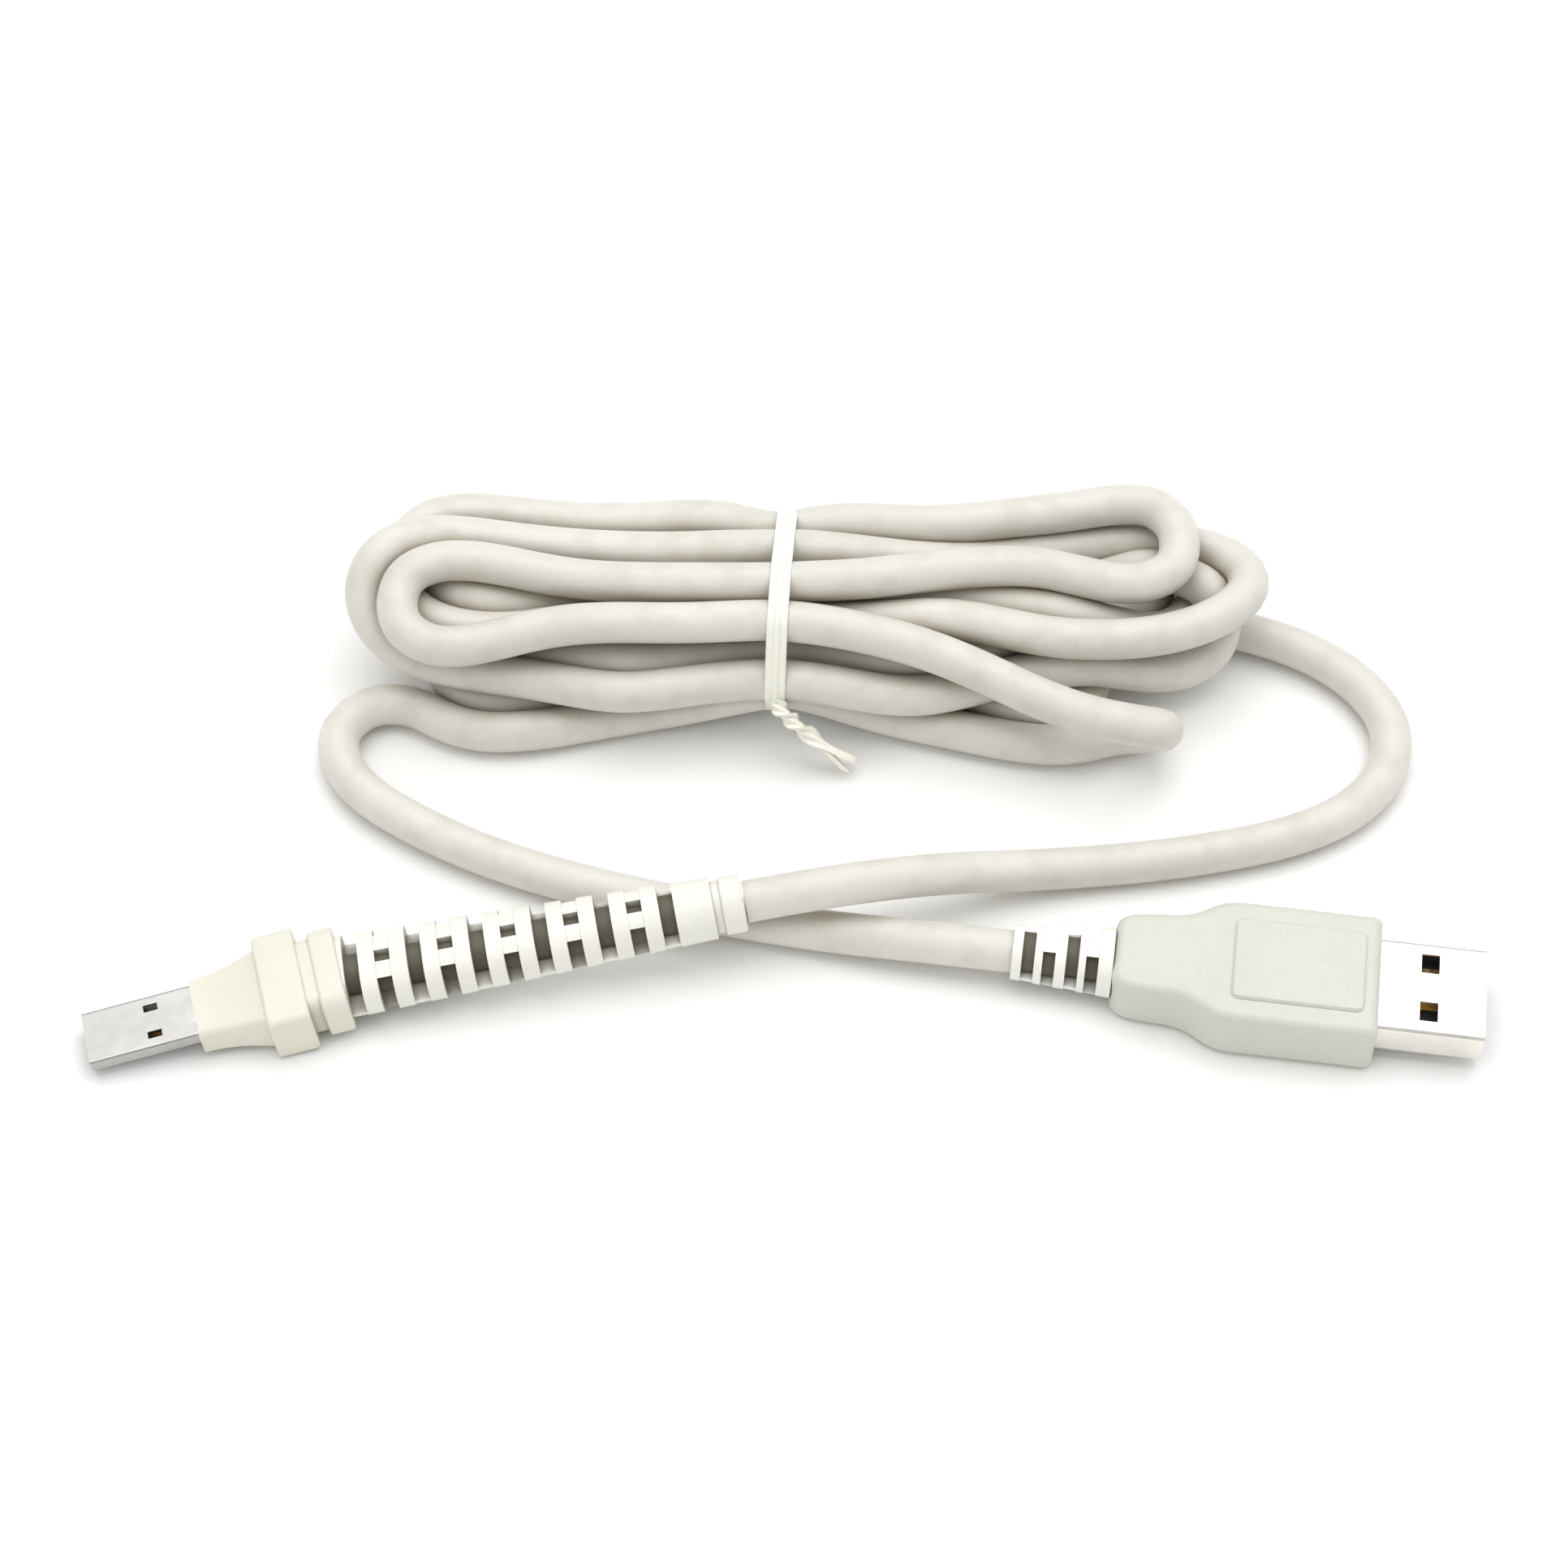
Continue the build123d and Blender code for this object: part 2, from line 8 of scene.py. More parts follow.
import bpy
import numpy as np
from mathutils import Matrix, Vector


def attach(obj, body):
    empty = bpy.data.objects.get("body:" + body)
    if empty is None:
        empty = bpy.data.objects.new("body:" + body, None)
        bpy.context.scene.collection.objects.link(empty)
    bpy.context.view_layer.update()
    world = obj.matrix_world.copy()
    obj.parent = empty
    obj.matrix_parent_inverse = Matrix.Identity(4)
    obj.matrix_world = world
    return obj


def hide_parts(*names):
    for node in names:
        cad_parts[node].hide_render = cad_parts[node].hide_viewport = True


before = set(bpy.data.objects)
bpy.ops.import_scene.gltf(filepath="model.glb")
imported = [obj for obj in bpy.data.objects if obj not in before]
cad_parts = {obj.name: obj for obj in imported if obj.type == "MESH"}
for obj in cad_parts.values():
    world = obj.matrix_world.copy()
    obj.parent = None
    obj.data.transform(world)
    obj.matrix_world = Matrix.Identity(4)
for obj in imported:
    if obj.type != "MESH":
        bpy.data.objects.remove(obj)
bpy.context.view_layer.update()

# ---- the cable ----------------------------------------------------------------------
CABLE_D = 0.0048
CABLE_R = CABLE_D / 2

LEAD_A_ROUTE = [
    (0.02543, 0.0036, 0.0038), (0.017, 0.00476, 0.0038), (0.003, 0.0074, 0.0024),
    (-0.014, 0.0109, 0.0024), (-0.03, 0.0156, 0.0024), (-0.042, 0.0214, 0.0024),
    (-0.0504, 0.0276, 0.0024), (-0.053, 0.0344, 0.0024), (-0.0496, 0.0392, 0.0024),
    (-0.0442, 0.0395, 0.0024),
]
LEAD_B_ROUTE = [
    (-0.00468, 0.0072, 0.00835), (0.00412, 0.00864, 0.00918), (0.017, 0.0126, 0.0062),
    (0.0305, 0.0156, 0.0025), (0.0455, 0.0172, 0.0024), (0.0605, 0.0207, 0.0024),
    (0.069, 0.0268, 0.0024), (0.0716, 0.035, 0.0024), (0.0686, 0.042, 0.0024),
    (0.0626, 0.0472, 0.0024), (0.0555, 0.0502, 0.0024),
]

# ---- the hank: the cable runs to and fro, even strands to the right, odd to the left -----
MID_Y = 0.0473
# where each strand passes under the tie: y from the hank's middle, z
TIE_SLOTS = [
    (-0.0084, 0.0046), (-0.0057, 0.016), (-0.0008, 0.0168), (0.008, 0.0134),
    (-0.0039, 0.0118), (0.0042, 0.0158), (-0.0087, 0.0108), (0.006, 0.0096),
    (0.0012, 0.012), (0.01, 0.0088), (-0.0042, 0.007), (0.0054, 0.0052),
    (0.0006, 0.0074), (0.0016, 0.0032), (-0.0034, 0.0032),
]
# folds: x where it starts, x of its tip, (y, z) of the strand coming in and of the one going out
RIGHT_FOLDS = [
    (0.037, 0.0465, (0.035, 0.0024), (0.0322, 0.0072)),
    (0.041, 0.0505, (0.051, 0.0148), (0.0562, 0.0144)),
    (0.043, 0.057, (0.044, 0.0104), (0.056, 0.0094)),
    (0.041, 0.054, (0.0426, 0.0062), (0.054, 0.0072)),
    (0.041, 0.053, (0.0474, 0.0072), (0.0602, 0.0066)),
    (0.038, 0.049, (0.0492, 0.0054), (0.0562, 0.0042)),
    (0.032, 0.0405, (0.0466, 0.0026), (0.0414, 0.0026)),
]
LEFT_FOLDS = [
    (-0.0375, -0.0485, (0.0428, 0.0152), (0.0486, 0.0142)),
    (-0.036, -0.0465, (0.0624, 0.0108), (0.0454, 0.0096)),
    (-0.038, -0.0502, (0.057, 0.012), (0.0414, 0.008)),
    (-0.036, -0.046, (0.0562, 0.0078), (0.0494, 0.0092)),
    (-0.037, -0.048, (0.062, 0.006), (0.046, 0.0052)),
    (-0.035, -0.046, (0.057, 0.0046), (0.0506, 0.005)),
    (-0.033, -0.0445, (0.042, 0.0026), (0.0488, 0.0026)),
]
HANK_START = [
    (-0.0394, 0.0364, 0.0024), (-0.0346, 0.035, 0.0024), (-0.0295, 0.0354, 0.0026),
    (-0.0236, 0.0372, 0.003), (-0.014, 0.0392, 0.0042),
]
HANK_END = [(0.03, 0.0508, 0.0024), (0.043, 0.0522, 0.0024), (0.0495, 0.0516, 0.0024)]
# the loose loop in front: its two strands between the tie and the first fold at the right
LOOP_OUT = [(0.005, 0.0396, 0.0044), (0.0155, 0.0366, 0.0032), (0.027, 0.0344, 0.0024)]
LOOP_BACK = [
    (0.0325, 0.0334, 0.0088), (0.026, 0.0362, 0.0122), (0.0185, 0.0392, 0.0152),
    (0.0095, 0.0412, 0.0164),
]

RUN_POINTS = 4                        # points from beside the tie to a fold
FOLD_PARTS = 7                        # parts that a fold's half turn is laid out in
STRAND_STEP = 0.004                   # distance between the hank's points
GAP = 0.00486                         # strands lie this far apart, just over a diameter
HELD_POINTS = 3                       # points at either end of the hank that don't move
SETTLE_STEPS = 260
LENGTH_PASSES = 5                     # corrections of length, folds and contact in each step
PAIRS_EVERY = 8                       # steps between two searches for strands that are near
OWN_POINTS = 5                        # a point doesn't push those next to it on its own strand
FOLD_PULL = 0.6
CONTACT_PUSH = 1.3
TIE_PULL = 0.6
BEND = 0.07                           # share of the way that bending straightens a point each step
SAG = 0.000006                        # drop of a free point each step
TIGHTEST = 0.0042                     # radius of the tightest fold
TIE_HALF = 0.0026                     # the tie squeezes the strands this far to either side
TIE_LOOSE = (0.014, 0.010)            # the tie's half width and half height, open and drawn tight
TIE_TIGHT = (0.0101, 0.0072)
TIE_LIFT = 0.0007

# ---- the twist tie ---------------------------------------------------------------------
TIE_X = -0.0004
TIE_SLANT = 0.068                     # x per y
TIE_CLEAR = 0.00003                   # room between the tie and the strands
TIE_POINTS = 140
RIM_POINTS = 32                       # points round each strand that the tie goes over
LEADS_END_Y = 0.03                    # the leads lie in front of this and aren't tied
TIE_W = 0.0024
FILM_T = 0.0002
RIDGE_T = 0.0006
RIDGE_W = 0.0007
TAIL_TO = (0.0076, 0.0312, 0.0015)
TAIL_TURNS = 1.35
TAIL_W = 0.0021
TAIL_BEND = (0.0008, -0.0022, -0.0004)
TAIL_RINGS = 72
TAIL_GAP = 0.00002
TWIST_END = 0.85                      # shares of the tail's length
SPLAY_FROM = 0.8
SPLAY_PART = 0.2
SPLAY = 0.0005

# ---- camera ---------------------------------------------------------------------------
CAMERA_TARGET = Vector((-0.00015, 0.0259, 0.005))
CAMERA_ELEVATION = math.radians(54)
CAMERA_DISTANCE = 0.42
CAMERA_LENS = 83.74
SENSOR_WIDTH = 36.0


def add_camera():
    data = bpy.data.cameras.new("camera")
    data.lens = CAMERA_LENS
    data.sensor_width = SENSOR_WIDTH
    camera = bpy.data.objects.new("camera", data)
    bpy.context.scene.collection.objects.link(camera)
    back = Vector((0, -math.cos(CAMERA_ELEVATION), math.sin(CAMERA_ELEVATION)))
    camera.location = CAMERA_TARGET + back * CAMERA_DISTANCE
    camera.rotation_euler = (math.pi / 2 - CAMERA_ELEVATION, 0, 0)
    bpy.context.scene.camera = camera


# ---- the hank's route -----------------------------------------------------------------
def ease(t):
    t = min(max(t, 0.0), 1.0)
    return t * t * (3 - 2 * t)


def to_fold(slot, end):
    """Points of a strand from beside the tie out to the start of a fold."""
    points = []
    for k in range(1, RUN_POINTS + 1):
        t = k / RUN_POINTS
        y = slot[0] + (end[1] - slot[0]) * ease(t)
        z = slot[1] + (end[2] - slot[1]) * ease(t)
        points.append((end[0] * t, y, z))
    return points


def fold_turn(start_x, tip_x, coming, going):
    """Points of a half turn from one strand to the next."""
    points = []
    for k in range(1, FOLD_PARTS):
        angle = math.pi * k / FOLD_PARTS
        share = (1 - math.cos(angle)) / 2
        y = coming[0] + (going[0] - coming[0]) * share
        z = coming[1] + (going[1] - coming[1]) * share
        points.append((start_x + (tip_x - start_x) * math.sin(angle), y, z))
    return points


def hank_route():
    """The hank's turns as listed, before they settle."""
    points = list(HANK_START)
    last = len(TIE_SLOTS) - 1
    for strand, (y, z) in enumerate(TIE_SLOTS):
        slot = (MID_Y + y, z)
        goes_right = strand % 2 == 0
        if strand > 0:
            fold = LEFT_FOLDS[strand // 2 - 1] if goes_right else RIGHT_FOLDS[strand // 2]
            start_x, _, _, going = fold
            end = (start_x, *going)
            points += [end] + LOOP_BACK if strand == 1 else to_fold(slot, end)[::-1]
        points.append((0.0, *slot))
        if strand < last:
            fold = RIGHT_FOLDS[strand // 2] if goes_right else LEFT_FOLDS[strand // 2]
            start_x, tip_x, coming, going = fold
            end = (start_x, *coming)
            points += LOOP_OUT + [end] if strand == 0 else to_fold(slot, end)
            points += fold_turn(start_x, tip_x, coming, going)
    return points + HANK_END


def evenly(points, step):
    """The hank's points, evenly spaced along its turns."""
    given = np.array(points, float)
    along = np.r_[0, np.cumsum(np.linalg.norm(np.diff(given, axis=0), axis=1))]
    count = int(round(along[-1] / step))
    places = np.linspace(0, along[-1], count + 1)
    return np.stack([np.interp(places, along, given[:, axis]) for axis in range(3)], 1)


def straighten(p, free):
    """Bending moves each point towards the smooth curve through its neighbours, and it sags."""
    moved = p.copy()
    far = (p[:-4] + p[4:]) / 2
    near = (p[1:-3] + p[3:-1]) / 2
    moved[2:-2] += BEND * ((4 * near - far) / 3 - p[2:-2])
    moved[:, 2] -= SAG
    return p + (moved - p) * free[:, None]


def keep_length(p, free, rest):
    """Keeps neighbouring points as far apart as they were laid."""
    gap = p[1:] - p[:-1]
    length = np.linalg.norm(gap, axis=1)
    weight = np.maximum(free[:-1] + free[1:], 1e-9)
    step = ((length - rest) / length / weight)[:, None] * gap
    p[:-1] += step * free[:-1, None]
    p[1:] -= step * free[1:, None]


def limit_bend(p, free):
    """Opens a fold that is tighter than the cable allows."""
    chord = 2 * STRAND_STEP * math.cos(STRAND_STEP / 2 / TIGHTEST)
    gap = p[2:] - p[:-2]
    length = np.linalg.norm(gap, axis=1)
    weight = np.maximum(free[2:] + free[:-2], 1e-9)
    step = (np.maximum(chord - length, 0) / length / weight)[:, None] * gap
    p[2:] += FOLD_PULL * step * free[2:, None]
    p[:-2] -= FOLD_PULL * step * free[:-2, None]


def push_apart(p, free, first, second):
    """Moves strands that lie in each other a diameter apart."""
    gap = p[first] - p[second]
    distance = np.linalg.norm(gap, axis=1)
    close = distance < GAP
    first, second = first[close], second[close]
    weight = 1 / (free[first] + free[second])
    depth = GAP - distance[close]
    push = (depth * weight / np.maximum(distance[close], 1e-9))[:, None] * gap[close]
    total = np.zeros_like(p)
    hits = np.zeros(len(p))
    np.add.at(total, first, push)
    np.add.at(total, second, -push)
    np.add.at(hits, first, 1)
    np.add.at(hits, second, 1)
    p += CONTACT_PUSH * total * (free / np.maximum(hits, 1))[:, None]


def draw_tie(p, free, share):
    """The tie holds the strands under it inside an ellipse, which it draws in."""
    half_w, half_h = (a + (b - a) * share for a, b in zip(TIE_LOOSE, TIE_TIGHT))
    mid_z = CABLE_R + TIE_LIFT + half_h
    y, z = p[:, 1] - MID_Y, p[:, 2] - mid_z
    reach = np.sqrt((y / half_w) ** 2 + (z / half_h) ** 2)
    outside = (np.abs(p[:, 0]) < TIE_HALF) & (reach > 1) & (free > 0)
    pull = TIE_PULL * (1 / np.maximum(reach, 1e-9) - 1)
    p[outside, 1] += (y * pull)[outside]
    p[outside, 2] += (z * pull)[outside]


def settle(points):
    """Lets the hank's strands find their places on the floor, under the tie and on each other."""
    p = np.vstack([LEAD_A_ROUTE[-3:-1], points, LEAD_B_ROUTE[:-4:-1]])
    held = (2 + HELD_POINTS, 3 + HELD_POINTS)
    free = np.ones(len(p))
    free[:held[0]] = 0
    free[-held[1]:] = 0
    rest = np.linalg.norm(np.diff(p, axis=0), axis=1)
    one, other = np.triu_indices(len(p), OWN_POINTS)
    movable = free[one] + free[other] > 0
    one, other = one[movable], other[movable]
    for step in range(SETTLE_STEPS):
        p = straighten(p, free)
        if step % PAIRS_EVERY == 0:
            near = np.linalg.norm(p[one] - p[other], axis=1) < 2 * GAP
            first, second = one[near], other[near]
        for _ in range(LENGTH_PASSES):
            keep_length(p, free, rest)
            limit_bend(p, free)
            push_apart(p, free, first, second)
            draw_tie(p, free, ease(2 * step / SETTLE_STEPS))
            p[:, 2] = np.maximum(p[:, 2], CABLE_R)
    return p[2:-3]


# ---- the cord ---------------------------------------------------------------------------
def new_object(name, data):
    piece = bpy.data.objects.new(name, data)
    bpy.context.scene.collection.objects.link(piece)
    return piece


def add_cord():
    hank = [tuple(p) for p in settle(evenly(hank_route(), STRAND_STEP))]
    points = LEAD_A_ROUTE + hank + LEAD_B_ROUTE[::-1]
    curve = bpy.data.curves.new("cable", "CURVE")
    curve.dimensions = "3D"
    spline = curve.splines.new("NURBS")
    spline.points.add(len(points) - 1)
    for target, point in zip(spline.points, points):
        target.co = (*point, 1.0)
    spline.order_u = 3
    spline.use_endpoint_u = True
    spline.resolution_u = 5
    curve.bevel_depth = CABLE_R
    curve.bevel_resolution = 8
    curve.use_fill_caps = True
    return new_object("cable", curve)


def centreline(cord):
    """The points of the cord's own line."""
    plain = cord.data.copy()
    plain.bevel_depth = 0
    holder = bpy.data.objects.new("line", plain)
    mesh = bpy.data.meshes.new_from_object(holder)
    points = np.array([v.co for v in mesh.vertices])
    bpy.data.objects.remove(holder)
    bpy.data.curves.remove(plain)
    bpy.data.meshes.remove(mesh)
    return points


# ---- the tie ----------------------------------------------------------------------------
def turn(a, b, c):
    """More than zero where the way from a over b to c turns left."""
    return (b[0] - a[0]) * (c[1] - a[1]) - (b[1] - a[1]) * (c[0] - a[0])


def convex_outline(points):
    """The convex outline of flat points, anticlockwise."""
    ordered = sorted(map(tuple, points))
    halves = []
    for run in (ordered, ordered[::-1]):
        chain = []
        for point in run:
            while len(chain) > 1 and turn(chain[-2], chain[-1], point) <= 0:
                chain.pop()
            chain.append(point)
        halves.append(chain[:-1])
    return np.array(halves[0] + halves[1])


def tie_outline(line):
    """The taut loop round the strands, in the tie's plane, as (along the plane, z)."""
    side = (line[:, 0] - TIE_X) - TIE_SLANT * (line[:, 1] - MID_Y)
    across = np.nonzero((side[:-1] * side[1:] < 0) & (line[:-1, 1] > LEADS_END_Y))[0]
    radius = CABLE_R + TIE_CLEAR
    rim = []
    for k in across:
        t = side[k] / (side[k] - side[k + 1])
        _, y, z = line[k] + (line[k + 1] - line[k]) * t
        for angle in np.linspace(0, 2 * math.pi, RIM_POINTS, endpoint=False):
            rim.append((y - MID_Y + radius * math.cos(angle), z + radius * math.sin(angle)))
    loop = convex_outline(rim)
    closed = np.vstack([loop, loop[:1]])
    along = np.r_[0, np.cumsum(np.linalg.norm(np.diff(closed, axis=0), axis=1))]
    places = np.linspace(0, along[-1], TIE_POINTS, endpoint=False)
    return np.stack([np.interp(places, along, closed[:, axis]) for axis in range(2)], 1)


def ribbon_profile(width):
    """Half round edges, thin film and a raised middle over the wire: (across, height)."""
    half, edge, ridge = width / 2, FILM_T / 2, RIDGE_W / 2
    outer = [(-half, edge), (-half + edge, FILM_T), (-1.6 * ridge, FILM_T)]
    for k in range(7):
        angle = math.pi * k / 6
        outer.append((-ridge * math.cos(angle), FILM_T + (RIDGE_T - FILM_T) * math.sin(angle)))
    outer += [(1.6 * ridge, FILM_T), (half - edge, FILM_T), (half, edge)]
    return outer + [(half - edge, 0), (0, 0), (-half + edge, 0)]


def skin(rings, closed):
    """Faces between rings of equal size, with caps where the run is open."""
    size = len(rings[0])
    points = [p for ring in rings for p in ring]
    faces = []
    runs = len(rings) if closed else len(rings) - 1
    for k in range(runs):
        base, after = k * size, (k + 1) % len(rings) * size
        for n in range(size):
            m = (n + 1) % size
            faces.append((base + n, base + m, after + m, after + n))
    if not closed:
        faces.append(tuple(reversed(range(size))))
        faces.append(tuple(range(len(points) - size, len(points))))
    return points, faces


def tie_hoop(line):
    """The flat band, drawn tight round the strands."""
    inner = tie_outline(line)
    before, after = np.roll(inner, 1, axis=0), np.roll(inner, -1, axis=0)
    tangent = after - before
    tangent /= np.linalg.norm(tangent, axis=1)[:, None]
    normal = np.stack([tangent[:, 1], -tangent[:, 0]], 1)
    rings = []
    for (y, z), (out_y, out_z) in zip(inner, normal):
        ring = []
        for across, height in ribbon_profile(TIE_W):
            ring.append((TIE_X + TIE_SLANT * (y + height * out_y) + across,
                         MID_Y + y + height * out_y - TIE_SLANT * across,
                         z + height * out_z))
        rings.append(ring)
    return skin(rings, True)


def tie_tail(line):
    """The two ends of the band, laid face to face and twisted, with splayed tips."""
    outline = tie_outline(line)
    start_y, start_z = outline[np.argmin(outline[:, 0] + 0.35 * outline[:, 1])]
    start = Vector((TIE_X + TIE_SLANT * start_y, MID_Y + start_y - 0.0001, start_z))
    end = Vector(TAIL_TO)
    bend = Vector(place + shift for place, shift in zip(start, TAIL_BEND))
    parts = []
    for side in (-1, 1):
        rings = []
        for k in range(TAIL_RINGS + 1):
            t = k / TAIL_RINGS
            centre = start * (1 - t) ** 2 + bend * (2 * t * (1 - t)) + end * t ** 2
            forward = ((bend - start) * (1 - t) + (end - bend) * t).normalized()
            flat = forward.cross(Vector((0, 0, 1))).normalized()
            up = flat.cross(forward)
            angle = math.pi * (0.5 + 2 * TAIL_TURNS * ease(t / TWIST_END))
            wide = flat * math.cos(angle) + up * math.sin(angle)
            thin = up * math.cos(angle) - flat * math.sin(angle)
            splay = SPLAY * ease((t - SPLAY_FROM) / SPLAY_PART)
            drop = thin * (side * (TAIL_GAP + splay))
            ring = []
            for across, height in ribbon_profile(TAIL_W):
                ring.append(tuple(centre + drop + wide * across + thin * (side * height)))
            rings.append(ring if side > 0 else ring[::-1])
        parts.append(skin(rings, False))
    return parts


def add_tie(line):
    points, faces = [], []
    for part_points, part_faces in [tie_hoop(line)] + tie_tail(line):
        base = len(points)
        points += part_points
        faces += [tuple(base + n for n in face) for face in part_faces]
    mesh = bpy.data.meshes.new("twist_tie")
    mesh.from_pydata(points, [], faces)
    mesh.update()
    tie = new_object("twist_tie", mesh)
    for polygon in mesh.polygons:
        polygon.use_smooth = True
    return tie


# ---- materials --------------------------------------------------------------------------
JACKET = (0.70, 0.683, 0.632)
SLOT_SHADE = (0.15, 0.13, 0.10)       # painted shade, near black, deep in the reliefs' slots
MOULD_GRAIN = 0.00035
MOULD_GRAIN_DEPTH = 0.00001
BRAID_WAVES = 900
BRAID_SLANT = math.radians(35)


class Nodes:
    """A material's node tree, with short calls for what the materials here share."""

    def __init__(self, name):
        self.material = bpy.data.materials.new(name)
        self.material.use_nodes = True
        self.tree = self.material.node_tree
        self.shader = self.tree.nodes["Principled BSDF"]
        self.place = self.add("ShaderNodeTexCoord").outputs["Object"]

    def add(self, kind, **settings):
        node = self.tree.nodes.new(kind)
        for key, value in settings.items():
            setattr(node, key, value)
        return node

    def link(self, output, node, socket):
        self.tree.links.new(output, node.inputs[socket])

    def noise(self, size, detail=3.0, stretch=None):
        """Noise whose blobs are about size metres across."""
        node = self.add("ShaderNodeTexNoise")
        node.inputs["Scale"].default_value = 1 / size
        node.inputs["Detail"].default_value = detail
        place = self.place
        if stretch:
            mapping = self.add("ShaderNodeMapping")
            mapping.inputs["Scale"].default_value = stretch
            self.link(place, mapping, "Vector")
            place = mapping.outputs["Vector"]
        self.link(place, node, "Vector")
        return node.outputs["Fac"]

    def ramp(self, value, stops):
        """Colours or greys at places along a value."""
        node = self.add("ShaderNodeValToRGB")
        while len(node.color_ramp.elements) < len(stops):
            node.color_ramp.elements.new(0.5)
        for element, (at, colour) in zip(node.color_ramp.elements, stops):
            element.position = at
            element.color = (*colour, 1) if len(colour) == 3 else (colour[0],) * 3 + (1,)
        self.link(value, node, "Fac")
        return node.outputs["Color"]

    def mix(self, share, a, b, how="MIX"):
        """Colour a with a share of b; a colour's sockets on the node are 6, 7 and out 2."""
        node = self.add("ShaderNodeMix", data_type="RGBA", blend_type=how)
        node.inputs[0].default_value = share
        self.link(a, node, 6)
        self.link(b, node, 7)
        return node.outputs[2]

    def bump(self, height, depth, below=None):
        node = self.add("ShaderNodeBump")
        node.inputs["Distance"].default_value = depth
        self.link(height, node, "Height")
        if below:
            self.link(below, node, "Normal")
        return node.outputs["Normal"]

    def crevice(self, reach):
        """White on open surfaces, darker within reach of a neighbour."""
        node = self.add("ShaderNodeAmbientOcclusion", samples=8)
        node.inputs["Distance"].default_value = reach
        return node.outputs["AO"]

    def finish(self, colour, roughness, normal=None, **plain):
        self.link(colour, self.shader, "Base Color")
        self.link(roughness, self.shader, "Roughness")
        if normal:
            self.link(normal, self.shader, "Normal")
        for socket, value in plain.items():
            self.shader.inputs[socket.replace("_", " ")].default_value = value
        return self.material


def scaled(colour, factor):
    return tuple(min(1.0, c * factor) for c in colour)


def moulded(name, colour, gloss=(0.34, 0.5), reach=0.0012, shade_colour=(0.70, 0.66, 0.56)):
    """Moulded plastic: faint flow marks, a fine eroded grain and painted shade in the corners and
    recesses.
    """
    n = Nodes(name)
    flow = n.ramp(n.noise(0.009, 4), [(0.3, scaled(colour, 0.95)), (0.7, scaled(colour, 1.03))])
    speck = n.ramp(n.noise(0.0006, 2), [(0.30, scaled(colour, 0.90)), (0.42, colour)])
    body = n.mix(0.35, flow, speck)
    # Painted shade: ambient occlusion darkens the colour in corners, grooves and slots.
    painted_shade = n.ramp(n.crevice(reach), [(0.25, shade_colour), (0.75, (1, 1, 1))])
    body = n.mix(0.8, body, painted_shade, "MULTIPLY")
    rough = n.ramp(n.noise(0.0025, 4), [(0.3, (gloss[0],)), (0.7, (gloss[1],))])
    grainy = n.bump(n.noise(MOULD_GRAIN, 3), MOULD_GRAIN_DEPTH)
    wavy = n.bump(n.noise(0.004, 2), MOULD_GRAIN_DEPTH * 5, grainy)
    return n.finish(body, rough, wavy)


def jacket():
    """Soft PVC sheath: warm white, slightly uneven over the cores, with painted shade that greys
    it in the hank's gaps.
    """
    n = Nodes("cable_jacket")
    tone = n.ramp(n.noise(0.022, 4), [(0.3, scaled(JACKET, 0.93)), (0.7, scaled(JACKET, 1.04))])
    smudge = n.ramp(n.noise(0.0035, 5), [(0.36, (0.90, 0.875, 0.82)), (0.52, (1, 1, 1))])
    body = n.mix(0.55, tone, smudge, "MULTIPLY")
    # Painted shade: ambient occlusion darkens the colour between the strands.
    painted_shade = n.ramp(n.crevice(0.0035), [(0.15, (0.60, 0.56, 0.48)), (0.85, (1, 1, 1))])
    body = n.mix(0.85, body, painted_shade, "MULTIPLY")
    rough = n.ramp(n.noise(0.0018, 4), [(0.3, (0.36,)), (0.7, (0.54,))])
    matt = n.bump(n.noise(0.00022, 2), 0.000006)
    uneven = n.bump(n.noise(0.0042, 2), 0.00009, matt)
    return n.finish(body, rough, uneven, Subsurface_Weight=0.06, Subsurface_Scale=0.001)


def plated(name, colour, stretch):
    """Nickel-plated steel: drawn lines, small stains and slightly worn places."""
    n = Nodes(name)
    tone = n.ramp(n.noise(0.004, 5), [(0.3, scaled(colour, 0.9)), (0.7, colour)])
    rough = n.ramp(n.noise(0.0016, 5), [(0.3, (0.24,)), (0.7, (0.40,))])
    lines = n.bump(n.noise(0.0002, 2, stretch), 0.000004)
    return n.finish(tone, rough, lines, Metallic=1.0)


def gold():
    n = Nodes("gold_contact")
    tone = n.ramp(n.noise(0.0008, 3), [(0.3, (0.78, 0.56, 0.22)), (0.7, (0.88, 0.67, 0.30))])
    rough = n.ramp(n.noise(0.0005, 3), [(0.3, (0.2,)), (0.7, (0.36,))])
    return n.finish(tone, rough, n.bump(n.noise(0.0003, 2), 0.000003), Metallic=1.0)


def braid():
    """Tinned copper strands, crossed."""
    n = Nodes("tinned_braid")
    waves = []
    for slant in (1, -1):
        mapping = n.add("ShaderNodeMapping")
        mapping.inputs["Rotation"].default_value = (0, 0, slant * BRAID_SLANT)
        n.link(n.place, mapping, "Vector")
        wave = n.add("ShaderNodeTexWave")
        wave.inputs["Scale"].default_value = BRAID_WAVES
        n.link(mapping.outputs["Vector"], wave, "Vector")
        waves.append(wave.outputs["Fac"])
    weave = n.mix(0.5, waves[0], waves[1])
    tone = n.ramp(weave, [(0.2, (0.35, 0.34, 0.32)), (0.7, (0.74, 0.73, 0.70))])
    rough = n.ramp(n.noise(0.0006, 3), [(0.3, (0.3,)), (0.7, (0.5,))])
    return n.finish(tone, rough, n.bump(weave, 0.00006), Metallic=1.0)


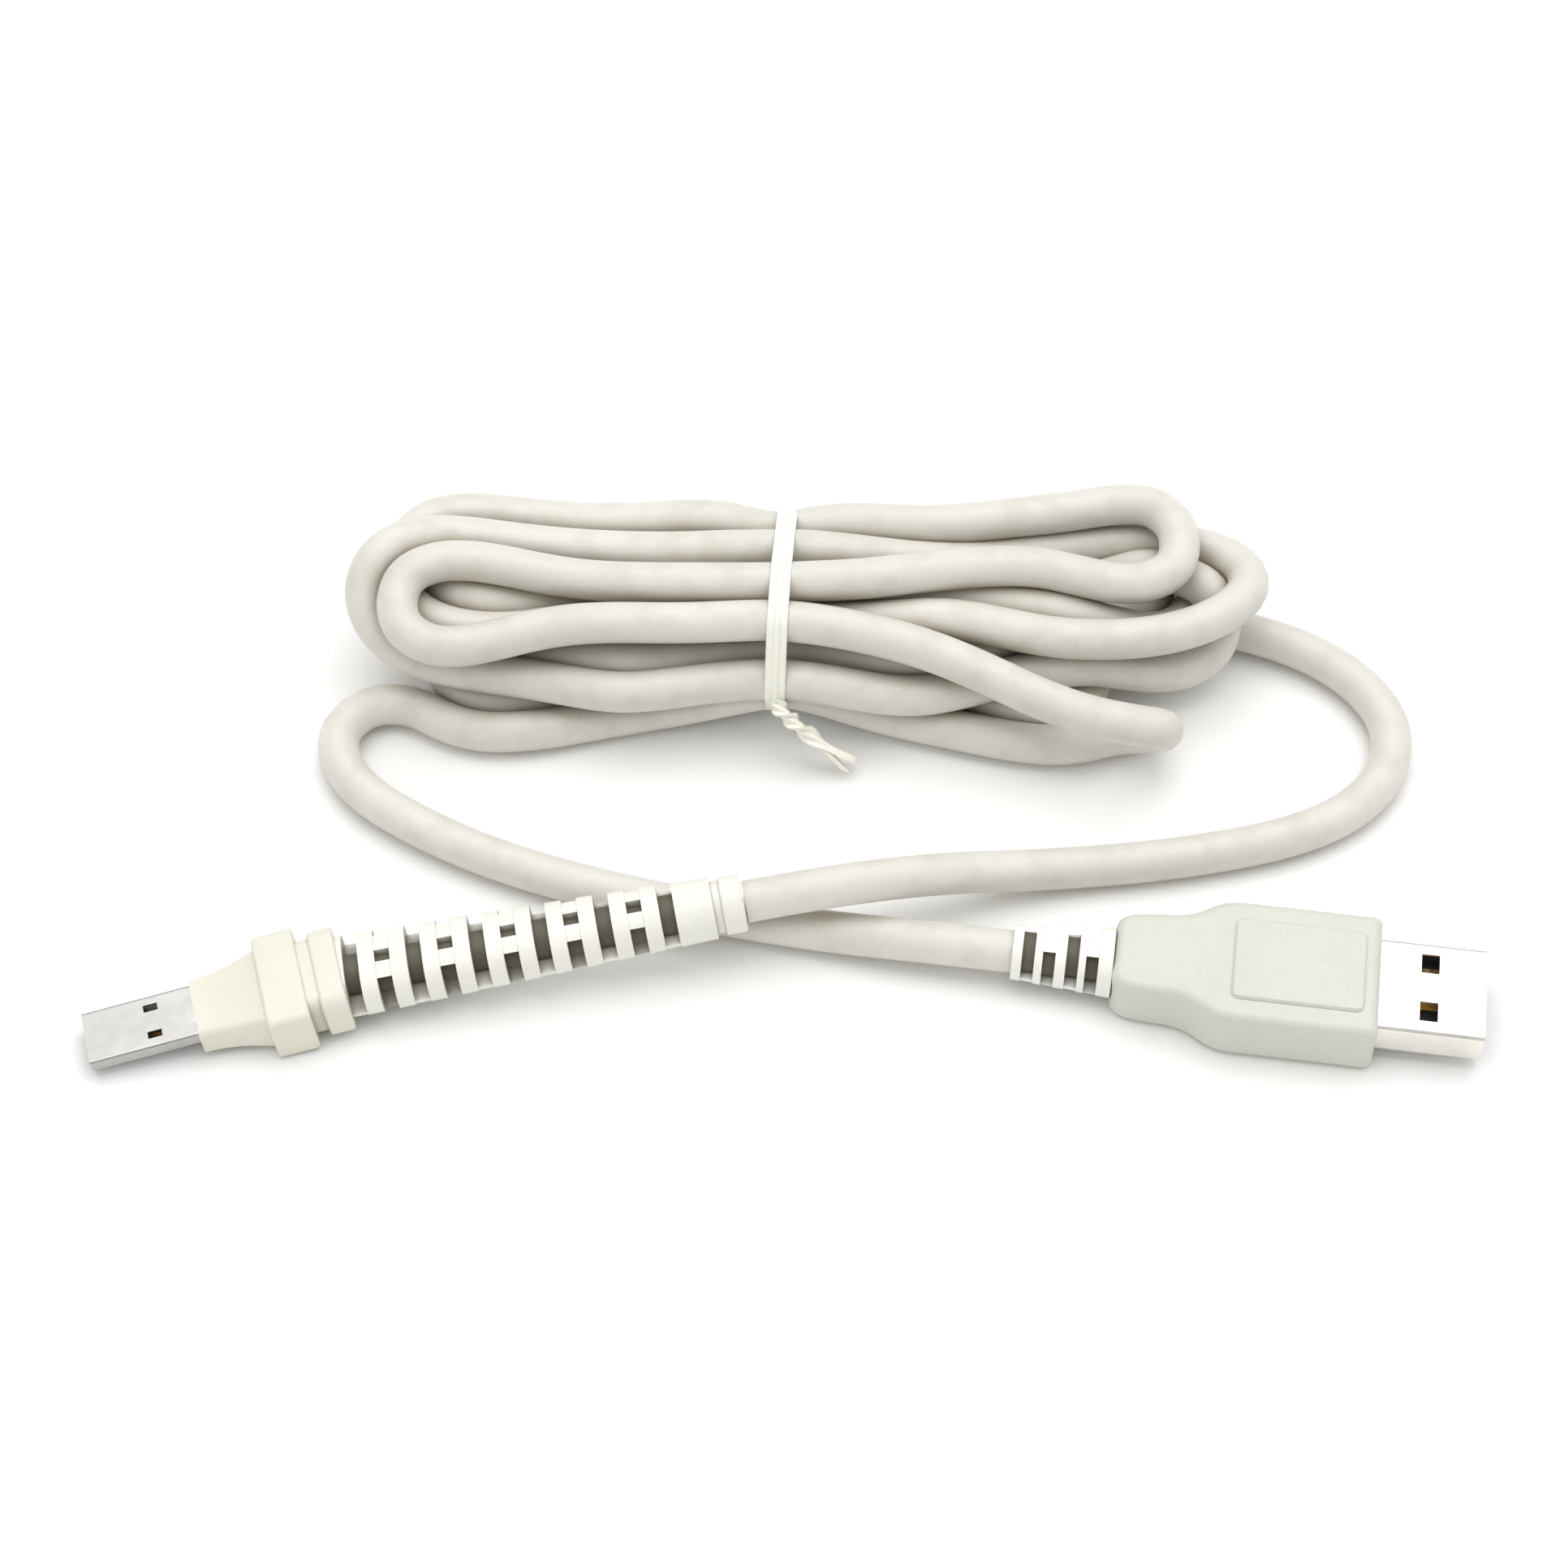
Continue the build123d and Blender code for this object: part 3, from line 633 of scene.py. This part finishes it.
def tie_film():
    """Thin plastic film over the tie's wire: creased across, glossy, a little translucent."""
    n = Nodes("tie_film")
    tone = n.ramp(n.noise(0.003, 4), [(0.3, (0.93, 0.91, 0.80)), (0.7, (0.98, 0.96, 0.87))])
    rough = n.ramp(n.noise(0.0009, 4), [(0.3, (0.22,)), (0.7, (0.38,))])
    creases = n.bump(n.noise(0.0012, 3, (1, 4, 4)), 0.00008)
    return n.finish(tone, rough, creases, Subsurface_Weight=0.15, Subsurface_Scale=0.0006)


def give(material, *pieces):
    for piece in pieces:
        piece.data.materials.clear()
        piece.data.materials.append(material)


def finish_cad_nodes():
    """Every node that stays gets a material of its own kind."""
    finishes = {
        "overmould_a": moulded("overmould_a", (0.63, 0.628, 0.565)),
        "overmould_b": moulded("overmould_b", (0.745, 0.735, 0.635), reach=0.002,
                               shade_colour=(0.46, 0.44, 0.38)),
        # The reliefs get near-black painted shade in their slots.
        "relief_a": moulded("relief_a", (0.86, 0.855, 0.81), reach=0.003, shade_colour=SLOT_SHADE),
        "relief_b": moulded("relief_b", (0.83, 0.82, 0.755), reach=0.003, shade_colour=SLOT_SHADE),
        # The jacket stubs inside the reliefs are coloured near black: painted shade that darkens
        # the slots.
        "entry": moulded("entry_jacket_painted_shade", (0.125, 0.11, 0.08), gloss=(0.5, 0.7)),
        "shell_a": plated("shell_a", (0.86, 0.835, 0.785), (1, 12, 12)),
        # Painted shade: the mini-B shell's plating is given a much darker colour than the USB-A
        # shell's, to dim its reflections.
        "shell_b": plated("shell_b", (0.50, 0.495, 0.48), (1, 12, 12)),
        "shield": plated("pressed_shield", (0.70, 0.69, 0.66), (1, 8, 8)),
        "carrier": moulded("carrier_black", (0.018, 0.018, 0.020), gloss=(0.3, 0.45)),
        "contact": gold(),
        "inner_mould": moulded("natural_polythene", (0.78, 0.77, 0.70), gloss=(0.4, 0.6)),
        "braid": braid(),
        "wire_red": moulded("wire_red", (0.55, 0.03, 0.03)),
        "wire_white": moulded("wire_white", (0.85, 0.84, 0.80)),
        "wire_green": moulded("wire_green", (0.03, 0.33, 0.09)),
        "wire_black": moulded("wire_black", (0.02, 0.02, 0.02)),
    }
    for name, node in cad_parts.items():
        plug = "a" if name.startswith("usb_a") else "b"
        if "contact_carrier" in name:
            kind = "carrier"
        elif "contact" in name:
            kind = "contact"
        elif "_wire_" in name:
            kind = "wire_" + name.rsplit("_", 1)[1]
        elif "cable_" in name or "tie_" in name:
            kind = "entry"
        elif "overmould" in name:
            kind = "overmould_" + plug
        elif "strain_relief" in name:
            kind = "relief_" + plug
        elif "rear_shield" in name:
            kind = "shield"
        elif "shell" in name:
            kind = "shell_" + plug
        elif "inner_mould" in name:
            kind = "inner_mould"
        else:
            kind = "braid"
        give(finishes[kind], node)


# ---- floor and light -----------------------------------------------------------------------
FLOOR_SIZE = 6.0
WORLD_LIGHT = 0.62
LAMPS = [                             # name, place, size, watts
    ("overhead", (0.05, 0.35, 1.1), 1.2, 9.5),
    ("front_left", (-0.7, -0.45, 0.7), 0.7, 1.6),
    ("right", (0.8, 0.1, 0.6), 0.6, 1.2),
]


def add_floor():
    half = FLOOR_SIZE / 2
    corners = [(-half, -half, 0), (half, -half, 0), (half, half, 0), (-half, half, 0)]
    mesh = bpy.data.meshes.new("floor")
    mesh.from_pydata(corners, [], [(0, 1, 2, 3)])
    floor = new_object("floor", mesh)
    n = Nodes("floor_paper")
    tone = n.ramp(n.noise(0.02, 3), [(0.3, (0.93, 0.93, 0.925)), (0.7, (0.95, 0.95, 0.945))])
    rough = n.ramp(n.noise(0.01, 3), [(0.3, (0.8,)), (0.7, (0.9,))])
    give(n.finish(tone, rough), floor)


def add_light():
    scene = bpy.context.scene
    scene.view_settings.view_transform = "Standard"
    world = bpy.data.worlds.new("studio")
    scene.world = world
    world.use_nodes = True
    background = world.node_tree.nodes["Background"]
    background.inputs["Color"].default_value = (1.0, 0.995, 0.985, 1)
    background.inputs["Strength"].default_value = WORLD_LIGHT
    for name, place, size, watts in LAMPS:
        data = bpy.data.lights.new(name, "AREA")
        data.shape = "SQUARE"
        data.size = size
        data.energy = watts
        lamp = new_object(name, data)
        lamp.location = place
        lamp.rotation_euler = (CAMERA_TARGET - Vector(place)).to_track_quat("-Z", "Y").to_euler()


# ---- the scene --------------------------------------------------------------------------------
add_camera()
cable = add_cord()
tie = add_tie(centreline(cable))
finish_cad_nodes()
give(jacket(), cable)
give(tie_film(), tie)
for piece in (cable, tie):
    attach(piece, "root")
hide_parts("cable_lead_a", "cable_lead_b", "cable_hank")
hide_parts("tie_ribbon", "tie_wire")
add_floor()
add_light()
